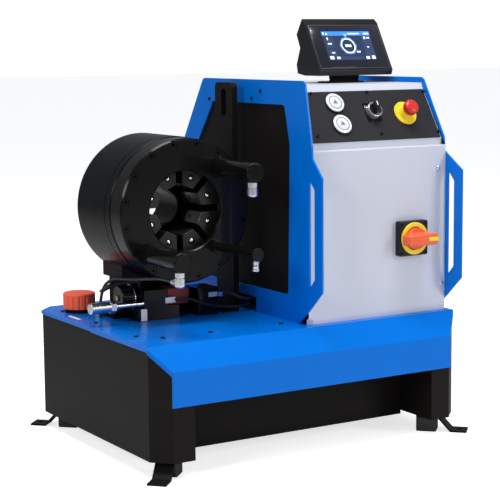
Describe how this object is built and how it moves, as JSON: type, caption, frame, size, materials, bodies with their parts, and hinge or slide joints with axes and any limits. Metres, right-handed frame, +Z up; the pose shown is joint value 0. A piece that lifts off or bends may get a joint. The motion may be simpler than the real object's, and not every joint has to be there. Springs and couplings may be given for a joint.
{
  "type": "hose_crimping_machine",
  "caption": "Blue and black electro-hydraulic hose crimping machine with a round die head, a valve group and a control tower with a tilting display.",
  "frame": {"origin": "floor level, centre of the four bolt-down holes of the floor tabs", "axes": "+Z up; front (operator side, crimping opening) towards -Y; +X to the operator's right"},
  "size_m": [0.724, 0.56, 0.8147],
  "materials": {
    "blue_paint": "gloss blue enamel",
    "black_paint": "satin black powder coat",
    "grey_paint": "light grey powder coat",
    "black_steel": "blackened machined steel",
    "die_steel": "hardened dark tool steel",
    "zinc": "bright zinc plate",
    "cast": "painted casting",
    "rubber": "black rubber",
    "black_plastic": "black plastic",
    "button_plastic": "black plastic",
    "red_plastic": "red plastic",
    "yellow_plastic": "yellow plastic",
    "orange_plastic": "orange plastic",
    "screen_glass": "dark touch screen"
  },
  "bodies": {
    "machine": {"top_cover": "blue_paint", "tower_left_plate": "blue_paint", "tower_right_plate": "blue_paint", "cover_screws": "black_steel", "left_side_panel": "black_paint", "right_side_panel": "black_paint", "rear_panel": "black_paint", "base_tray": "black_paint", "floor_tabs": "black_paint", "foot_pads": "rubber", "front_plate": "black_steel", "head_housing": "black_steel", "front_bolts": "black_steel", "return_cylinders": "black_steel", "position_sensor": "black_steel", "head_saddle": "black_paint", "lifting_bar": "black_paint", "manifold_block": "black_steel", "valve_blocks": "black_steel", "solenoid_coil": "red_plastic", "test_coupling": "zinc", "cabinet_shell": "grey_paint", "control_panel": "black_paint", "tower_side_lining": "black_paint", "tower_back_panel": "grey_paint", "selector_bezel": "black_plastic", "estop_base": "yellow_plastic", "main_switch_base": "yellow_plastic", "display_arm": "black_paint", "pump_motor": "cast", "hydraulic_pump": "cast", "oil_tank": "black_paint", "control_electrics": "grey_paint", "hose_fittings": "zinc", "return_hose": "rubber", "pressure_hose": "rubber", "valve_cable": "rubber"},
    "ring": {"pressure_ring": "black_steel", "return_rods": "zinc"},
    "knob": {"pressure_knob": "black_plastic"},
    "lever": {"valve_lever": "black_plastic"},
    "button_upper": {"push_button_upper": "button_plastic"},
    "button_lower": {"push_button_lower": "button_plastic"},
    "selector": {"selector_knob": "black_plastic"},
    "estop_push": {"estop_stem": "red_plastic"},
    "estop_twist": {"estop_head": "red_plastic"},
    "main_switch": {"main_switch_handle": "red_plastic"},
    "display": {"display_housing": "black_plastic", "display_screen": "screen_glass"},
    "dipstick": {"dipstick": "zinc"},
    "filler_cap": {"filler_cap": "orange_plastic"},
    "drive_shaft": {"drive_coupling": "zinc"},
    "die_body_1": {"die_1": "die_steel"},
    "die_body_2": {"die_2": "die_steel"},
    "die_body_3": {"die_3": "die_steel"},
    "die_body_4": {"die_4": "die_steel"},
    "die_body_5": {"die_5": "die_steel"},
    "die_body_6": {"die_6": "die_steel"},
    "die_body_7": {"die_7": "die_steel"},
    "die_body_8": {"die_8": "die_steel"}
  },
  "joints": [
    {"name": "ring_slide", "type": "slide", "parent": "machine", "child": "ring", "axis": [0, -1, 0], "range_m": [0, 0.032]},
    {"name": "knob_turn", "type": "hinge", "parent": "machine", "child": "knob", "pos_m": [-0.2555, 0.034, 0.2845], "axis": [-1, 0, 0], "continuous": true},
    {"name": "lever_swing", "type": "hinge", "parent": "machine", "child": "lever", "pos_m": [-0.22, 0.042, 0.3], "axis": [0, 0, 1], "range_deg": [0, 90]},
    {"name": "button_upper_press", "type": "slide", "parent": "machine", "child": "button_upper", "axis": [0, 0.845, -0.5348], "range_m": [0, 0.0025], "stiffness_N_per_m": 400, "springref_m": -0.004},
    {"name": "button_lower_press", "type": "slide", "parent": "machine", "child": "button_lower", "axis": [0, 0.845, -0.5348], "range_m": [0, 0.0025], "stiffness_N_per_m": 400, "springref_m": -0.004},
    {"name": "selector_turn", "type": "hinge", "parent": "machine", "child": "selector", "pos_m": [0.186, -0.17469, 0.6371], "axis": [0, -0.845, 0.5348], "range_deg": [-45, 45]},
    {"name": "estop_press", "type": "slide", "parent": "machine", "child": "estop_push", "axis": [0, 0.845, -0.5348], "range_m": [0, 0.005], "stiffness_N_per_m": 800, "springref_m": -0.004},
    {"name": "estop_release_twist", "type": "hinge", "parent": "estop_push", "child": "estop_twist", "pos_m": [0.263, -0.18582, 0.63822], "axis": [0, -0.845, 0.5348], "range_deg": [0, 30], "stiffness_Nm_per_rad": 0.04},
    {"name": "main_switch_turn", "type": "hinge", "parent": "machine", "child": "main_switch", "pos_m": [0.245, -0.24, 0.39], "axis": [0, -1, 0], "range_deg": [0, 90]},
    {"name": "display_tilt", "type": "hinge", "parent": "machine", "child": "display", "pos_m": [0.235, -0.004, 0.699], "axis": [-1, 0, 0], "range_deg": [-10, 15]},
    {"name": "dipstick_lift", "type": "slide", "parent": "machine", "child": "dipstick", "axis": [0, 0, 1], "range_m": [0, 0.13]},
    {"name": "cap_turn", "type": "hinge", "parent": "dipstick", "child": "filler_cap", "pos_m": [-0.285, 0.172, 0.26], "axis": [0, 0, 1], "range_deg": [0, 90]},
    {"name": "shaft_turn", "type": "hinge", "parent": "machine", "child": "drive_shaft", "pos_m": [0.04, 0.04, 0.13], "axis": [1, 0, 0], "continuous": true},
    {"name": "die_slide_1", "type": "slide", "parent": "machine", "child": "die_body_1", "axis": [-0.9239, 0, -0.3827], "range_m": [0, 0.016]},
    {"name": "die_slide_2", "type": "slide", "parent": "machine", "child": "die_body_2", "axis": [-0.3827, 0, -0.9239], "range_m": [0, 0.016]},
    {"name": "die_slide_3", "type": "slide", "parent": "machine", "child": "die_body_3", "axis": [0.3827, 0, -0.9239], "range_m": [0, 0.016]},
    {"name": "die_slide_4", "type": "slide", "parent": "machine", "child": "die_body_4", "axis": [0.9239, 0, -0.3827], "range_m": [0, 0.016]},
    {"name": "die_slide_5", "type": "slide", "parent": "machine", "child": "die_body_5", "axis": [0.9239, 0, 0.3827], "range_m": [0, 0.016]},
    {"name": "die_slide_6", "type": "slide", "parent": "machine", "child": "die_body_6", "axis": [0.3827, 0, 0.9239], "range_m": [0, 0.016]},
    {"name": "die_slide_7", "type": "slide", "parent": "machine", "child": "die_body_7", "axis": [-0.3827, 0, 0.9239], "range_m": [0, 0.016]},
    {"name": "die_slide_8", "type": "slide", "parent": "machine", "child": "die_body_8", "axis": [-0.9239, 0, 0.3827], "range_m": [0, 0.016]}
  ],
  "couplings": [
    {"joint": "die_slide_1", "follows": "ring_slide", "ratio": 0.5},
    {"joint": "die_slide_2", "follows": "ring_slide", "ratio": 0.5},
    {"joint": "die_slide_3", "follows": "ring_slide", "ratio": 0.5},
    {"joint": "die_slide_4", "follows": "ring_slide", "ratio": 0.5},
    {"joint": "die_slide_5", "follows": "ring_slide", "ratio": 0.5},
    {"joint": "die_slide_6", "follows": "ring_slide", "ratio": 0.5},
    {"joint": "die_slide_7", "follows": "ring_slide", "ratio": 0.5},
    {"joint": "die_slide_8", "follows": "ring_slide", "ratio": 0.5}
  ]
}
